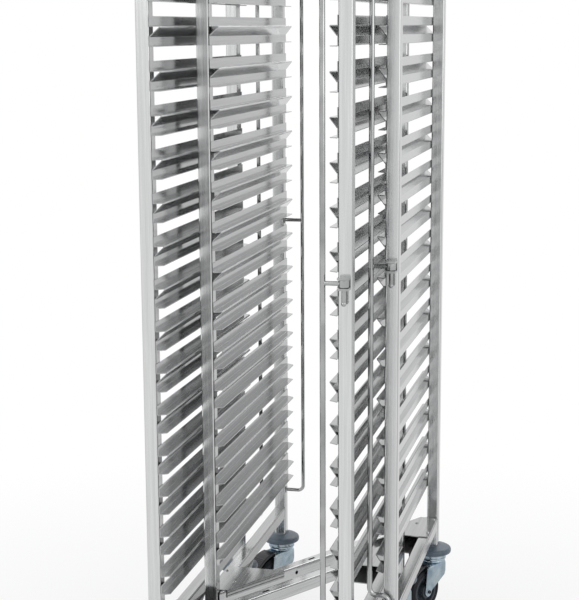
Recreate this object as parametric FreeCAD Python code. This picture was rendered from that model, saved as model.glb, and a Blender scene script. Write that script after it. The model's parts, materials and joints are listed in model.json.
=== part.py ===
import FreeCAD, Part
import math
import os

# Two identical Z-frame tray trolleys, the second rolled into the first from behind.
# Millimetres. +X is to the right seen from the loading side, +Y away from it, +Z up.
# Each trolley is drawn with its front-left outer corner at X = Y = 0 and the floor at Z = 0.

# --- Whole trolley -----------------------------------------------------------------------
TRAY_WIDTH = 325.0          # width of the trays that the runners carry
TRAY_PLAY = 2.0             # spare width between a tray and the runner webs
FRAME_DEPTH = 585.0
FRAME_TOP = 1810.0

# --- Nesting -----------------------------------------------------------------------------
NEST_SIDE = 46.5            # how far the second trolley stands to the right of the first
NEST_BACK = 200.0           # how far it stands behind it
NEST_ROLL = 160.0           # how far it can still roll out while nested

# --- Uprights ----------------------------------------------------------------------------
TUBE = 25.0
TUBE_WALL = 1.5
TUBE_CORNER = 3.0
CAP_THICK = 2.0

# --- Runners -----------------------------------------------------------------------------
SHEET = 1.5
SHEET_BEND = 0.6            # inside radius of the folds
TIER_PITCH = 76.0
LOWEST_LEDGE = 285.0        # underside of the lowest runner
TOP_CLEAR = 3.0             # least room between the highest runner and the top frame
BAND_HEIGHT = 18.0          # plain band at the top of a runner
RIDGE_HEIGHT = 17.0         # height of the folded ridge under the band
LEDGE_DROP = 17.0           # web between the ridge and the ledge
RIDGE_REACH = 16.0          # how far ridge and ledge stand into the bay
END_CLIP = 10.0             # corners cut off the ends of ridge and ledge

# --- Base and top frame ------------------------------------------------------------------
PLATE = 2.0
PLATE_BEND = 1.5
RAIL_BOTTOM = 187.0
DIAGONAL_GAP = 2.0          # between the base diagonal's cut ends and the uprights' inner faces
GUSSET_LENGTH = 131.0       # of the upper corner plates
SKIRT = 14.0                # fold of the upper plate down over the diagonal's free side
UNDER_LENGTH = 252.0        # of the lower corner plates along the side rail
UNDER_DIAGONAL = 155.0      # and along the diagonal
UNDER_NECK = 165.0          # where its edge bends to pass the other trolley's upright
UNDER_NECK_REACH = 14.0     # width that it still has there beside the rail
HOLE_PLACE = 0.33           # share of the diagonal's length where its round hole lies
SLOT_PLACE = 0.40
DIAGONAL_HOLE = 8.0
SLOT_WIDTH = 6.0
SLOT_LENGTH = 18.0

# --- Rivets ------------------------------------------------------------------------------
RIVET_HEAD = 8.0
RIVET_HEAD_HEIGHT = 2.4
RIVET_SHANK = 4.0
RIVET_PLAY = 0.05
RIVET_SIDE = 7.8            # from the side rail's outer face
RIVET_INSET = 15.0          # along the rail, from the plate's near end
RIVET_FAR = 107.0
RIVET_DIAGONAL = 47.0       # the rivet on the diagonal, and how far it is off the middle
RIVET_OFF = 8.0

# --- Swinging stop bar at the front ------------------------------------------------------
BAR_ROD = 10.0
BAR_ARM = 37.0              # from the hinge axis to the long stretch of the bar
BAR_BEND = 14.0
BAR_OFFSET = 11.0           # hinge axis in front of the upright's front face
BAR_BOTTOM = 245.0
BAR_TOP_DROP = 62.0         # below the top of the frame
BAR_HOOK = 22.0             # length of the pins at its two ends
BAR_OPEN_ANGLE = 170.0
LUG_WIDTH = 20.0
LUG_THICK = 5.0
LUG_SEAT = 7.0              # from the axis of the bar's arm to the lug's face
PIVOT_PLAY = 0.05
BLOCK_HEIGHT = 22.0
BLOCK_EAR = 4.0
ARM_LEVEL = 876.0
ARM_ROD = 8.0
SLEEVE = 17.0
SLEEVE_PLAY = 0.3           # above and below the sleeve in its block
PIN = 8.0
PIN_DROP = 24.0             # length of the pin below the block
PIN_BALL = 9.0

# --- Fixed stop rod at the back ----------------------------------------------------------
REAR_ROD = 8.0
REAR_ARM = 40.0             # from the upright's inner face to the rod's axis
REAR_BEND = 12.0
REAR_BOTTOM = 253.0
REAR_WASHER = 16.0
WASHER_THICK = 1.5
REAR_MIDDLE_TIER = 7        # the middle arm leaves the upright above this tier
REAR_TIERS_SPARED = 2       # tiers above the one that the top arm leaves over

# --- Castors -----------------------------------------------------------------------------
WHEEL = 100.0
WHEEL_WIDTH = 32.0
TYRE_THICK = 13.0
TYRE_ROUND = 7.0
TRAIL = 42.0                # axle behind the swivel axis
HEADING = -29.0             # degrees that the forks trail away from -Y, toward -X
HUB = 32.0
HUB_PLAY = 1.0              # between the hub's ends and the fork's legs
WEB_THICK = 10.0
RIM_THICK = 6.0
RIM_INSET = 2.0
AXLE = 8.0
AXLE_PLAY = 0.05
BOLT_HEAD = 13.0
BOLT_HEAD_THICK = 5.0
NUT_SIDES = 6
LEG_THICK = 3.0
LEG_PLAY = 3.0              # between the tyre and each leg
LEG_END = 11.0              # radius of a leg's lower end
LEG_END_FLAT = 0.01         # left straight between the two roundings of that end
CROWN_CLEAR = 7.0           # between the tyre and the crown
CROWN_FRONT = 27.0
CROWN_BACK = 34.0
LEG_FRONT = 20.0
LEG_FRONT_DROP = 28.0
EAR_BACK = 46.0
RACE = 54.0
RACE_HEIGHT = 5.0
RACE_GAP = 0.3
CUP = 60.0
CUP_HEIGHT = 18.7
KINGPIN = 12.0
KINGPIN_PLAY = 0.05
KINGPIN_HEAD = 20.0
KINGPIN_HEAD_THICK = 3.3
PLUG_PLAY = 0.3
PLUG_HEIGHT = 40.0
DISC = 80.0
DISC_THICK = 13.0
DISC_RIM = 5.0
DISC_PLAY = 0.1
DISC_SEAT = 37.0            # flat on the disc's top that the upright stands on
DISC_UNDERCUT = 5.0

# --- Brake pedal -------------------------------------------------------------------------
PEDAL_CLEAR = 6.0           # over the tyre
PEDAL_THICK = 6.5
PEDAL_FROM = 36.0           # degrees up from the axle's level, behind the wheel
PEDAL_SIDE_PLAY = 2.0
PEDAL_BARREL = 8.0
PEDAL_PIN = 5.0
PEDAL_PIN_PLAY = 0.05
PEDAL_PIN_BACK = 41.0
PEDAL_PIN_DROP = 2.0        # below the crown's underside
PEDAL_STROKE = 4.5          # degrees

# --- Worked out --------------------------------------------------------------------------
FRAME_WIDTH = TRAY_WIDTH + TRAY_PLAY + 2 * SHEET + 2 * TUBE
BAND_TOP_TO_LEDGE = BAND_HEIGHT + RIDGE_HEIGHT + LEDGE_DROP
LEG_INSIDE = WHEEL_WIDTH / 2 + LEG_PLAY
CROWN_BOTTOM = WHEEL + CROWN_CLEAR
CROWN_TOP = CROWN_BOTTOM + LEG_THICK
CUP_BOTTOM = CROWN_TOP + RACE_HEIGHT + RACE_GAP
DISC_BOTTOM = CUP_BOTTOM + CUP_HEIGHT
DISC_TOP = DISC_BOTTOM + DISC_THICK
RAIL_TOP = RAIL_BOTTOM + TUBE
GUSSET_TOP = RAIL_TOP + PLATE
TIER_ROOM = FRAME_TOP - TUBE - TOP_CLEAR - LOWEST_LEDGE - BAND_TOP_TO_LEDGE
TIER_COUNT = int(TIER_ROOM // TIER_PITCH) + 1
REAR_TOP_TIER = TIER_COUNT - REAR_TIERS_SPARED
BAR_TOP = FRAME_TOP - BAR_TOP_DROP
HINGE_X = FRAME_WIDTH - TUBE / 2
HINGE_Y = -BAR_OFFSET
PEDAL_PIN_LEVEL = CROWN_BOTTOM - PEDAL_PIN_DROP
PEDAL_TO = math.degrees(math.atan2(PEDAL_PIN_LEVEL - WHEEL / 2, PEDAL_PIN_BACK - TRAIL))

CORNERS = {
    "front_left": (TUBE / 2, TUBE / 2),
    "front_right": (FRAME_WIDTH - TUBE / 2, TUBE / 2),
    "rear_left": (TUBE / 2, FRAME_DEPTH - TUBE / 2),
    "rear_right": (FRAME_WIDTH - TUBE / 2, FRAME_DEPTH - TUBE / 2),
}
BRAKED = ("rear_left", "rear_right")
TROLLEYS = {"lead": (0.0, 0.0), "nested": (NEST_SIDE, NEST_BACK)}

UP = FreeCAD.Vector(0, 0, 1)


def vector(x, y, z=0.0):
    return FreeCAD.Vector(x, y, z)


def box(x0, x1, y0, y1, z0, z1):
    """Block between two corners."""
    return Part.makeBox(x1 - x0, y1 - y0, z1 - z0, vector(x0, y0, z0))


def rod(radius, start, end):
    """Round bar between two points."""
    run = end - start
    return Part.makeCylinder(radius, run.Length, start, run)


def plan(a, b):
    """Profile plane seen from above."""
    return vector(a, b, 0)


def front(a, b):
    """Profile plane seen from the front."""
    return vector(a, 0, b)


def rounded_face(points, radii, plane=plan):
    """Flat face through the points, with each corner rounded by its own radius."""
    corners = [vector(a, b) for a, b in points]
    edges = []
    last_end = None
    first_start = None
    for index, corner in enumerate(corners):
        back = (corners[index - 1] - corner).normalize()
        ahead = (corners[(index + 1) % len(corners)] - corner).normalize()
        radius = radii[index]
        start = end = corner
        arc = None
        if radius:
            half = back.getAngle(ahead) / 2
            reach = radius / math.tan(half)
            start = corner + back * reach
            end = corner + ahead * reach
            bisector = (back + ahead).normalize()
            crown = corner + bisector * (radius / math.sin(half) - radius)
            arc = Part.Arc(*[plane(p.x, p.y) for p in (start, crown, end)]).toShape()
        if last_end is None:
            first_start = start
        elif (start - last_end).Length > 1e-6:
            edges.append(Part.makeLine(plane(last_end.x, last_end.y), plane(start.x, start.y)))
        if arc:
            edges.append(arc)
        last_end = end
    if (first_start - last_end).Length > 1e-6:
        edges.append(
            Part.makeLine(plane(last_end.x, last_end.y), plane(first_start.x, first_start.y))
        )
    return Part.Face(Part.Wire(edges))


def square_tube(side, wall, corner, length):
    """Hollow square tube along +Z, centred on the axis."""
    shells = []
    for half, radius in ((side / 2, corner), (side / 2 - wall, corner - wall)):
        ring = [(-half, -half), (half, -half), (half, half), (-half, half)]
        shells.append(rounded_face(ring, [radius] * 4).extrude(UP * length))
    return shells[0].cut(shells[1])


def level_tube(length):
    """The frame's square tube lying along +Y, centred on the axis."""
    tube = square_tube(TUBE, TUBE_WALL, TUBE_CORNER, length)
    tube.rotate(vector(0, 0), vector(1, 0), -90)
    return tube


def folded_sheet(path, thickness, bend, plane=front):
    """Section of a sheet folded along the path, its thickness laid on the path's left."""
    points = [vector(a, b) for a, b in path]
    sides = []
    for start, end in zip(points, points[1:]):
        along = (end - start).normalize()
        sides.append(vector(-along.y, along.x))
    far = [points[0] + sides[0] * thickness]
    near_radii = [0.0]
    far_radii = [0.0]
    for index in range(1, len(points) - 1):
        before, after = sides[index - 1], sides[index]
        mitre = (before + after).normalize()
        far.append(points[index] + mitre * (thickness / mitre.dot(before)))
        folds_left = before.cross(after).z > 0
        near_radii.append(bend + thickness if folds_left else bend)
        far_radii.append(bend if folds_left else bend + thickness)
    far.append(points[-1] + sides[-1] * thickness)
    near_radii.append(0.0)
    far_radii.append(0.0)
    outline = [(p.x, p.y) for p in points + far[::-1]]
    return rounded_face(outline, near_radii + far_radii[::-1], plane)


def bent_rod(points, radius, bend):
    """Round rod along straight runs joined by tangent arcs."""
    edges = []
    last = points[0]
    for before, corner, after in zip(points, points[1:], points[2:]):
        back = (before - corner).normalize()
        ahead = (after - corner).normalize()
        half = back.getAngle(ahead) / 2
        reach = bend / math.tan(half)
        crown = corner + (back + ahead).normalize() * (bend / math.sin(half) - bend)
        start = corner + back * reach
        end = corner + ahead * reach
        edges.append(Part.makeLine(last, start))
        edges.append(Part.Arc(start, crown, end).toShape())
        last = end
    edges.append(Part.makeLine(last, points[-1]))
    ring = Part.Wire(Part.makeCircle(radius, points[0], points[1] - points[0]))
    return Part.Wire(edges).makePipeShell([ring], True, False)


def turned(outline, radii=None):
    """Solid of revolution about the Z axis from (radius, height) points."""
    face = rounded_face(outline, radii or [0.0] * len(outline), front)
    return face.revolve(vector(0, 0), UP, 360)


def mirrored_side(shape):
    """The same piece on the trolley's other side wall."""
    return shape.mirror(vector(FRAME_WIDTH / 2, 0), vector(1, 0))


def half_turned(shape):
    """The same piece at the diagonally opposite corner."""
    copy = shape.copy()
    copy.rotate(vector(FRAME_WIDTH / 2, FRAME_DEPTH / 2), UP, 180)
    return copy


def upright(corner):
    """Square tube from the castor's disc to the top, and the cap welded on it."""
    length = FRAME_TOP - CAP_THICK - DISC_TOP
    tube = square_tube(TUBE, TUBE_WALL, TUBE_CORNER, length)
    tube.translate(vector(*CORNERS[corner], DISC_TOP))
    half = TUBE / 2
    ring = [(-half, -half), (half, -half), (half, half), (-half, half)]
    cap = rounded_face(ring, [TUBE_CORNER] * 4).extrude(UP * CAP_THICK)
    cap.translate(vector(*CORNERS[corner], FRAME_TOP - CAP_THICK))
    return [tube, cap]


def runner():
    """One folded tray runner on the left wall, with its underside at the lowest tier."""
    top = LOWEST_LEDGE + BAND_TOP_TO_LEDGE
    ridge = top - BAND_HEIGHT
    web = ridge - RIDGE_HEIGHT
    path = [
        (TUBE, top),
        (TUBE, ridge),
        (TUBE + RIDGE_REACH, ridge),
        (TUBE, web),
        (TUBE, LOWEST_LEDGE),
        (TUBE + RIDGE_REACH, LOWEST_LEDGE),
    ]
    sheet = folded_sheet(path, SHEET, SHEET_BEND).extrude(vector(0, FRAME_DEPTH))
    deep = TUBE + RIDGE_REACH + 2 * SHEET
    clip_start = TUBE + SHEET + SHEET_BEND
    outline = [
        (TUBE - SHEET, 0),
        (clip_start, 0),
        (deep, END_CLIP),
        (deep, FRAME_DEPTH - END_CLIP),
        (clip_start, FRAME_DEPTH),
        (TUBE - SHEET, FRAME_DEPTH),
    ]
    clip = rounded_face(outline, [0.0] * len(outline)).extrude(UP * FRAME_TOP)
    return sheet.common(clip)


def runners():
    """All runners of the left wall."""
    first = runner()
    return [first.translated(UP * TIER_PITCH * tier) for tier in range(TIER_COUNT)]


def side_tube(top):
    """Square tube between the left uprights with its upper face at this height."""
    return level_tube(FRAME_DEPTH - 2 * TUBE).translated(vector(TUBE / 2, TUBE, top - TUBE / 2))


def diagonal_run():
    """Start point and direction, seen from above, of the line between the two corners."""
    start = vector(*CORNERS["front_left"])
    end = vector(*CORNERS["rear_right"])
    return start, end - start


def turned_to_diagonal(shape):
    """A shape drawn along +Y from the origin, turned and moved onto the diagonal."""
    start, run = diagonal_run()
    copy = shape.copy()
    copy.rotate(vector(0, 0), UP, math.degrees(math.atan2(run.y, run.x)) - 90)
    return copy.translated(start)


def between_walls(bar, gap):
    """The bar laid on the diagonal and cut off this far inside the uprights."""
    inner = TUBE + gap
    limits = box(inner, FRAME_WIDTH - inner, 0, FRAME_DEPTH, 0, FRAME_TOP)
    return turned_to_diagonal(bar).common(limits)


def base_diagonal():
    """Square tube with a round hole through its sides and a slot in its upper face."""
    length = diagonal_run()[1].Length
    middle = RAIL_TOP - TUBE / 2
    tube = level_tube(length).translated(UP * middle)
    hole = length * HOLE_PLACE
    start = vector(-TUBE, hole, middle)
    tube = tube.cut(rod(DIAGONAL_HOLE / 2, start, vector(TUBE, hole, middle)))
    slot_start = length * SLOT_PLACE
    half = SLOT_WIDTH / 2
    slot = box(-half, half, slot_start, slot_start + SLOT_LENGTH, middle, GUSSET_TOP)
    return drilled(between_walls(tube.cut(slot), DIAGONAL_GAP))


def diagonal_at(y, side):
    """X of the diagonal's middle line at this depth, or of a line this far right of it."""
    start, run = diagonal_run()
    return start.x + (y - start.y) * run.x / run.y + side * run.Length / run.y


def upper_plate():
    """Front-left plate over the rail and the diagonal, folded down at the free side."""
    near = TUBE + DIAGONAL_GAP
    far = near + GUSSET_LENGTH
    edge = TUBE / 2
    outline = [
        (PLATE, near),
        (diagonal_at(near, edge), near),
        (diagonal_at(far, edge), far),
        (PLATE, far),
    ]
    plate = rounded_face(outline, [0.0, 0.0, 0.0, PLATE]).extrude(UP * PLATE)
    length = diagonal_run()[1].Length
    skirt = turned_to_diagonal(box(edge, edge + PLATE, 0, length, -SKIRT, PLATE))
    skirt = skirt.common(box(0, FRAME_WIDTH, near, far, -SKIRT, PLATE))
    return plate.fuse(skirt).removeSplitter().translated(UP * RAIL_TOP)


def lower_plate():
    """Front-left plate under the rail and the diagonal."""
    near = TUBE + DIAGONAL_GAP
    far = near + UNDER_DIAGONAL
    outline = [
        (PLATE, near),
        (diagonal_at(near, TUBE / 2), near),
        (diagonal_at(far, TUBE / 2), far),
        (TUBE + UNDER_NECK_REACH, near + UNDER_NECK),
        (TUBE, near + UNDER_LENGTH),
        (PLATE, near + UNDER_LENGTH),
    ]
    plate = rounded_face(outline, [0.0, 0.0, 0.0, PLATE, 0.0, 0.0])
    return plate.extrude(UP * PLATE).translated(UP * (RAIL_BOTTOM - PLATE))


def rivet_places():
    """Plan positions of all rivets: at each corner two on the rail, one on the diagonal."""
    middle = TUBE + RIVET_DIAGONAL
    places = [
        vector(RIVET_SIDE, TUBE + RIVET_INSET),
        vector(RIVET_SIDE, TUBE + RIVET_FAR),
        vector(diagonal_at(middle, -RIVET_OFF), middle),
    ]
    turned_places = [vector(FRAME_WIDTH - p.x, FRAME_DEPTH - p.y) for p in places]
    return places + turned_places


def drilled(shape):
    """The shape with a hole for each rivet."""
    for place in rivet_places():
        low = place + UP * (RAIL_TOP - TUBE / 2)
        high = place + UP * (RAIL_TOP + TUBE / 2)
        shape = shape.cut(rod(RIVET_SHANK / 2 + RIVET_PLAY, low, high))
    return shape


def corner_plates():
    """Riveted upper and welded lower plates at the two ends of the base diagonal."""
    upper = upper_plate()
    lower = lower_plate()
    return [drilled(upper), drilled(half_turned(upper)), lower, half_turned(lower)]


def rivets():
    """Domed rivets through the corner plates."""
    half = RIVET_HEAD / 2
    dome = RIVET_HEAD_HEIGHT
    ball = (half * half + dome * dome) / (2 * dome)
    cap = Part.makeSphere(ball, vector(0, 0, dome - ball))
    cap = cap.common(box(-half, half, -half, half, 0, dome))
    depth = PLATE + TUBE_WALL
    shank = Part.makeCylinder(RIVET_SHANK / 2, depth, vector(0, 0, -depth))
    rivet = cap.fuse(shank).removeSplitter()
    return [rivet.translated(place + UP * GUSSET_TOP) for place in rivet_places()]


def top_diagonal():
    """Inverted channel between the same two corners as the tube in the base."""
    half = TUBE / 2
    low = FRAME_TOP - TUBE
    path = [(half, low), (half, FRAME_TOP), (-half, FRAME_TOP), (-half, low)]
    channel = folded_sheet(path, PLATE, PLATE_BEND)
    return between_walls(channel.extrude(vector(0, diagonal_run()[1].Length)), 0)


def stop_bar():
    """Front bar: long rod, its bent ends that pivot in the lugs, and the arm with a sleeve."""
    far = HINGE_X - BAR_ARM
    points = [
        vector(HINGE_X, HINGE_Y, BAR_BOTTOM - BAR_HOOK),
        vector(HINGE_X, HINGE_Y, BAR_BOTTOM),
        vector(far, HINGE_Y, BAR_BOTTOM),
        vector(far, HINGE_Y, BAR_TOP),
        vector(HINGE_X, HINGE_Y, BAR_TOP),
        vector(HINGE_X, HINGE_Y, BAR_TOP + BAR_HOOK),
    ]
    bar = bent_rod(points, BAR_ROD / 2, BAR_BEND)
    sleeve_half = BLOCK_HEIGHT / 2 - BLOCK_EAR - SLEEVE_PLAY
    arm_start = vector(far, HINGE_Y, ARM_LEVEL)
    hinge = vector(HINGE_X, HINGE_Y, ARM_LEVEL)
    arm = rod(ARM_ROD / 2, arm_start, hinge)
    low = hinge - UP * sleeve_half
    high = hinge + UP * sleeve_half
    sleeve = rod(SLEEVE / 2, low, high)
    bore = rod(PIN / 2 + PIVOT_PLAY, low - UP, high + UP)
    return bar.fuse([arm, sleeve]).cut(bore)


def lug(level):
    """Ear on the front-right upright with the hole for one end of the stop bar."""
    half = LUG_WIDTH / 2
    reach = BAR_OFFSET + half
    outline = [
        (HINGE_X - half, 0),
        (HINGE_X - half, -reach),
        (HINGE_X + half, -reach),
        (HINGE_X + half, 0),
    ]
    ear = rounded_face(outline, [0.0, half - PLATE, half - PLATE, 0.0]).extrude(UP * LUG_THICK)
    ear.translate(UP * level)
    axis = vector(HINGE_X, HINGE_Y, level - LUG_THICK)
    return ear.cut(rod(BAR_ROD / 2 + PIVOT_PLAY, axis, axis + UP * 3 * LUG_THICK))


def stop_bar_brackets():
    """Both lugs, the forked block at mid height, and the pin with its ball end."""
    half = LUG_WIDTH / 2
    low = ARM_LEVEL - BLOCK_HEIGHT / 2
    high = ARM_LEVEL + BLOCK_HEIGHT / 2
    reach = BAR_OFFSET + half
    back = BAR_OFFSET - SLEEVE / 2 - SLEEVE_PLAY
    block = box(HINGE_X - half, HINGE_X + half, -reach, 0, low, high)
    slot = box(0, 2 * FRAME_WIDTH, -2 * reach, -back, low + BLOCK_EAR, high - BLOCK_EAR)
    block = block.cut(slot)
    pin_top = vector(HINGE_X, HINGE_Y, high)
    pin_end = vector(HINGE_X, HINGE_Y, low - PIN_DROP)
    block = block.cut(rod(PIN / 2, pin_end, pin_top))
    pin = rod(PIN / 2, pin_end, pin_top).fuse(Part.makeSphere(PIN_BALL / 2, pin_end))
    lower = lug(BAR_BOTTOM - LUG_SEAT - LUG_THICK - BAR_BEND + BAR_ROD / 2)
    upper = lug(BAR_TOP + LUG_SEAT + BAR_BEND - BAR_ROD / 2)
    return [lower, upper, block, pin]


def band_top(tier):
    """Height of the upper edge of one runner, the lowest being tier 0."""
    return LOWEST_LEDGE + BAND_TOP_TO_LEDGE + tier * TIER_PITCH


def gap_above(tier):
    """Height halfway between one runner and the next one up."""
    return band_top(tier) + (TIER_PITCH - BAND_TOP_TO_LEDGE) / 2


def rear_stop_rod():
    """Fixed rod at the back with three arms, and the washers against the upright."""
    y = FRAME_DEPTH - TUBE / 2
    x = TUBE + REAR_ARM
    top = gap_above(REAR_TOP_TIER)
    middle = gap_above(REAR_MIDDLE_TIER)
    points = [
        vector(TUBE, y, REAR_BOTTOM),
        vector(x, y, REAR_BOTTOM),
        vector(x, y, top),
        vector(TUBE, y, top),
    ]
    bar = bent_rod(points, REAR_ROD / 2, REAR_BEND)
    bar = bar.fuse(rod(REAR_ROD / 2, vector(TUBE, y, middle), vector(x, y, middle)))
    pieces = [bar]
    for level in (REAR_BOTTOM, middle, top):
        start = vector(TUBE, y, level)
        end = vector(TUBE + WASHER_THICK, y, level)
        ring = rod(REAR_WASHER / 2, start, end)
        pieces.append(ring.cut(rod(REAR_ROD / 2, start, end)))
    return pieces


def bumper_disc():
    """Dished round bumper between a castor and its upright."""
    outer = DISC / 2
    outline = [
        (KINGPIN / 2 + DISC_PLAY, 0),
        (outer - DISC_UNDERCUT, 0),
        (outer, DISC_RIM / 2),
        (outer, DISC_RIM),
        (DISC_SEAT / 2, DISC_THICK),
        (KINGPIN / 2 + DISC_PLAY, DISC_THICK),
    ]
    radii = [0.0, DISC_RIM / 2, DISC_RIM / 4, DISC_RIM / 2, DISC_RIM / 2, 0.0]
    return turned(outline, radii).translated(UP * DISC_BOTTOM)


def castor_stem():
    """Kingpin with its head, the upper race cup, and the plug inside the upright."""
    pin = KINGPIN / 2
    head_top = CROWN_BOTTOM - RACE_GAP
    outline = [
        (0, head_top - KINGPIN_HEAD_THICK),
        (KINGPIN_HEAD / 2, head_top - KINGPIN_HEAD_THICK),
        (KINGPIN_HEAD / 2, head_top),
        (pin, head_top),
        (pin, CUP_BOTTOM),
        (CUP / 2, CUP_BOTTOM),
        (CUP / 2, DISC_BOTTOM),
        (pin, DISC_BOTTOM),
        (pin, DISC_TOP + PLUG_HEIGHT / 2),
        (0, DISC_TOP + PLUG_HEIGHT / 2),
    ]
    half = TUBE / 2 - TUBE_WALL - PLUG_PLAY
    plug = box(-half, half, -half, half, DISC_TOP, DISC_TOP + PLUG_HEIGHT)
    edge = [e for e in plug.Edges if abs(e.tangentAt(e.FirstParameter).z) > 0.5]
    plug = plug.makeFillet(TUBE_CORNER - TUBE_WALL, edge)
    return turned(outline).fuse(plug).removeSplitter()


def swivelled(shape, corner):
    """A castor piece drawn trailing toward +X, turned to its heading under its upright."""
    copy = shape.copy()
    copy.rotate(vector(0, 0), UP, HEADING - 90)
    return copy.translated(vector(*CORNERS[corner]))


def across(shape):
    """A piece turned about Z, laid on the wheel's axle."""
    copy = shape.copy()
    copy.rotate(vector(0, 0), vector(1, 0), 90)
    return copy.translated(vector(TRAIL, 0, WHEEL / 2))


def fork(braked):
    """Fork with its lower race, the axle bolt and nut, and the pedal's pin if braked."""
    outer = LEG_INSIDE + LEG_THICK
    leg_back = TRAIL + LEG_END
    outline = [
        (-LEG_FRONT, CROWN_TOP),
        (EAR_BACK, CROWN_TOP),
        (leg_back, WHEEL / 2),
        (leg_back, WHEEL / 2 - LEG_END),
        (TRAIL - LEG_END, WHEEL / 2 - LEG_END),
        (-LEG_FRONT, CROWN_TOP - LEG_FRONT_DROP),
    ]
    round_end = LEG_END - LEG_END_FLAT
    radii = [LEG_THICK, LEG_THICK, 0.0, round_end, round_end, 2 * LEG_THICK]
    leg = rounded_face(outline, radii, front).extrude(vector(0, LEG_THICK))
    crown_plan = [
        (-CROWN_FRONT, -outer),
        (CROWN_BACK, -outer),
        (CROWN_BACK, outer),
        (-CROWN_FRONT, outer),
    ]
    crown_radii = [outer - LEG_THICK, 0.0, 0.0, outer - LEG_THICK]
    crown = rounded_face(crown_plan, crown_radii).extrude(UP * LEG_THICK)
    crown.translate(UP * CROWN_BOTTOM)
    race = Part.makeCylinder(RACE / 2, RACE_HEIGHT, vector(0, 0, CROWN_TOP))
    legs = [leg.translated(vector(0, LEG_INSIDE)), leg.translated(vector(0, -outer))]
    yoke = crown.fuse([race] + legs)
    yoke = yoke.cut(Part.makeCylinder(KINGPIN / 2 + KINGPIN_PLAY, CUP_BOTTOM))
    reach = outer + BOLT_HEAD_THICK
    yoke = yoke.cut(across(centred_rod(AXLE / 2, reach)))
    bolt = centred_rod(AXLE / 2, reach)
    bolt = bolt.fuse(Part.makeCylinder(BOLT_HEAD / 2, BOLT_HEAD_THICK, vector(0, 0, outer)))
    nut = hexagonal_nut()
    nut = nut.translated(vector(0, 0, -reach)).cut(centred_rod(AXLE / 2, reach))
    pieces = [yoke, across(bolt), across(nut)]
    if braked:
        pin = pedal_axis(centred_rod(PEDAL_PIN / 2, outer))
        pieces[0] = yoke.cut(pin)
        pieces.append(pin)
    return pieces


def centred_rod(radius, reach):
    """Round bar on the Z axis, reaching as far each way."""
    return Part.makeCylinder(radius, 2 * reach, vector(0, 0, -reach))


def hexagonal_nut():
    """Nut without its bore, standing on the Z axis."""
    turn = math.tau / NUT_SIDES
    radius = BOLT_HEAD / 2 / math.cos(turn / 2)
    corners = [
        (radius * math.cos(turn * n), radius * math.sin(turn * n)) for n in range(NUT_SIDES)
    ]
    return rounded_face(corners, [0.0] * NUT_SIDES).extrude(UP * BOLT_HEAD_THICK)


def pedal_axis(shape):
    """A piece turned about Z, laid on the pedal's pin."""
    copy = shape.copy()
    copy.rotate(vector(0, 0), vector(1, 0), 90)
    return copy.translated(vector(PEDAL_PIN_BACK, 0, PEDAL_PIN_LEVEL))


def wheel():
    """Tyre and hub, with the hub's bore running on the axle bolt."""
    outer = WHEEL / 2
    seat = outer - TYRE_THICK
    half = WHEEL_WIDTH / 2
    tyre = turned(
        [(seat, -half), (outer, -half), (outer, half), (seat, half)],
        [0.0, TYRE_ROUND, TYRE_ROUND, 0.0],
    )
    bore = AXLE / 2 + AXLE_PLAY
    hub_half = LEG_INSIDE - HUB_PLAY
    rim_half = half - RIM_INSET
    rim = seat - RIM_THICK
    upper = [
        (seat, rim_half),
        (rim, rim_half),
        (rim, WEB_THICK / 2),
        (HUB / 2, WEB_THICK / 2),
        (HUB / 2, hub_half),
        (bore, hub_half),
    ]
    lower = [(r, -z) for r, z in reversed(upper)]
    return [across(tyre), across(turned(upper + lower))]


def brake_pedal():
    """Foot lever that follows the tyre behind the fork and turns on its pin."""
    inner = WHEEL / 2 + PEDAL_CLEAR
    outer = inner + PEDAL_THICK
    half = LEG_INSIDE - PEDAL_SIDE_PLAY
    ring = Part.makeCylinder(outer, 2 * half, vector(0, 0, -half), UP, PEDAL_TO - PEDAL_FROM)
    ring = ring.cut(centred_rod(inner, half))
    ring.rotate(vector(0, 0), UP, PEDAL_FROM)
    barrel = pedal_axis(centred_rod(PEDAL_BARREL / 2, half))
    paddle = across(ring).fuse(barrel)
    return paddle.cut(pedal_axis(centred_rod(PEDAL_PIN / 2 + PEDAL_PIN_PLAY, half)))


def trolley():
    """Every node of one trolley as a list of its solids."""
    nodes = {}
    for corner in CORNERS:
        nodes[corner + "_upright"] = upright(corner)
    left = runners()
    nodes["left_runners"] = left
    nodes["right_runners"] = [mirrored_side(piece) for piece in left]
    rail = side_tube(RAIL_TOP)
    top_rail = side_tube(FRAME_TOP)
    nodes["left_base_rail"] = [drilled(rail)]
    nodes["right_base_rail"] = [drilled(mirrored_side(rail))]
    nodes["base_diagonal"] = [base_diagonal()]
    nodes["corner_plates"] = corner_plates()
    nodes["rivets"] = rivets()
    nodes["top_rails"] = [top_rail, mirrored_side(top_rail)]
    nodes["top_diagonal"] = [top_diagonal()]
    nodes["stop_bar"] = [stop_bar()]
    nodes["stop_bar_brackets"] = stop_bar_brackets()
    nodes["rear_stop_rod"] = rear_stop_rod()
    disc = bumper_disc()
    stem = castor_stem()
    nodes["bumper_discs"] = [disc.translated(vector(*place)) for place in CORNERS.values()]
    nodes["castor_stems"] = [stem.translated(vector(*place)) for place in CORNERS.values()]
    for corner in CORNERS:
        pieces = fork(corner in BRAKED)
        nodes[corner + "_fork"] = [swivelled(piece, corner) for piece in pieces]
        nodes[corner + "_wheel"] = [swivelled(piece, corner) for piece in wheel()]
    for corner in BRAKED:
        nodes[corner + "_brake_pedal"] = [swivelled(brake_pedal(), corner)]
    return nodes


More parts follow.
